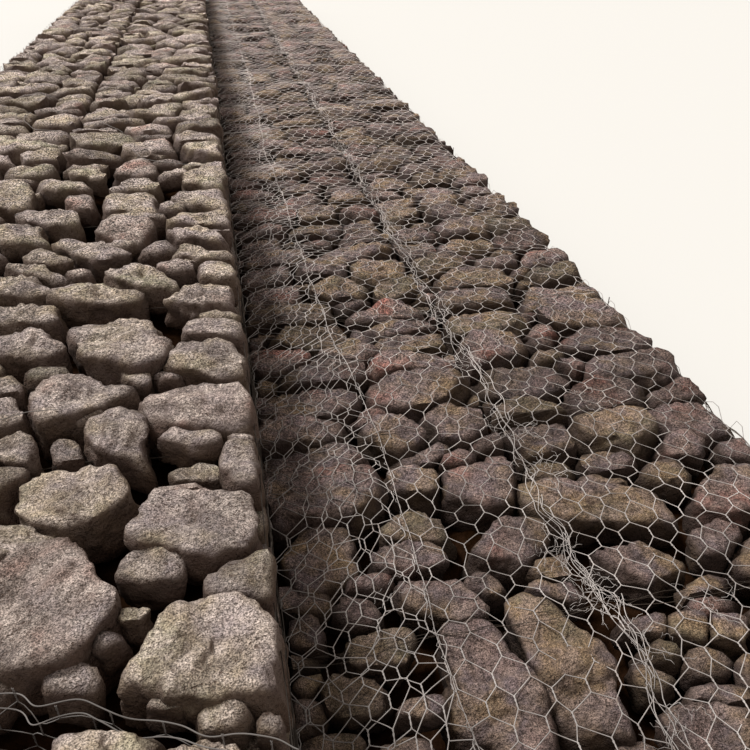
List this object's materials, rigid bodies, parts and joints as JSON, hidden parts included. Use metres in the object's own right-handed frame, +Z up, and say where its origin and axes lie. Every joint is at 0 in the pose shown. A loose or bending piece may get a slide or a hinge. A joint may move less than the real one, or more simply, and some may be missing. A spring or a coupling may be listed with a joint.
{
  "type": "gabion mattress revetment in two tiers",
  "caption": "Stone-filled wire mesh mattress along a bank, under a hexagonal mesh lid, with an open-topped tier of wire boxes packed with stone set back on it.",
  "frame": {"origin": "middle of the base, on the ground", "axes": "+X across the bank towards the water, +Y along the bank, +Z up"},
  "size_m": [4.03, 17.999, 0.825],
  "materials": {
    "edge_wire": "dull zinc coating",
    "lacing_wire": "dull zinc coating",
    "lower_stone": "damp rough stone",
    "mesh_wire": "dull zinc coating",
    "upper_stone": "weathered rough sandstone"
  },
  "bodies": {
    "root": {"inner_mattress_fill_1": "lower_stone", "inner_mattress_fill_2": "lower_stone", "inner_mattress_fill_3": "lower_stone", "inner_mattress_fill_4": "lower_stone", "inner_mattress_fill_5": "lower_stone", "inner_mattress_fill_6": "lower_stone", "lap_edge_wire": "edge_wire", "lid_frame_1": "edge_wire", "lid_frame_2": "edge_wire", "lid_frame_3": "edge_wire", "lid_frame_4": "edge_wire", "lid_frame_5": "edge_wire", "lid_frame_6": "edge_wire", "mattress_end_mesh_near": "mesh_wire", "middle_lacing_1": "lacing_wire", "middle_lacing_2": "lacing_wire", "middle_lacing_3": "lacing_wire", "middle_lacing_4": "lacing_wire", "middle_lacing_5": "lacing_wire", "middle_lacing_6": "lacing_wire", "outer_mattress_fill_1": "lower_stone", "outer_mattress_fill_2": "lower_stone", "outer_mattress_fill_3": "lower_stone", "outer_mattress_fill_4": "lower_stone", "outer_mattress_fill_5": "lower_stone", "outer_mattress_fill_6": "lower_stone", "upper_end_mesh_near": "mesh_wire", "upper_frame_1": "edge_wire", "upper_frame_2": "edge_wire", "upper_frame_3": "edge_wire", "upper_frame_4": "edge_wire", "upper_frame_5": "edge_wire", "upper_frame_6": "edge_wire", "upper_frame_7": "edge_wire", "upper_tier_fill_1": "upper_stone", "upper_tier_fill_2": "upper_stone", "upper_tier_fill_3": "upper_stone", "upper_tier_fill_4": "upper_stone", "upper_tier_fill_5": "upper_stone", "upper_tier_fill_6": "upper_stone", "upper_tier_fill_7": "upper_stone"}
  },
  "joints": []
}
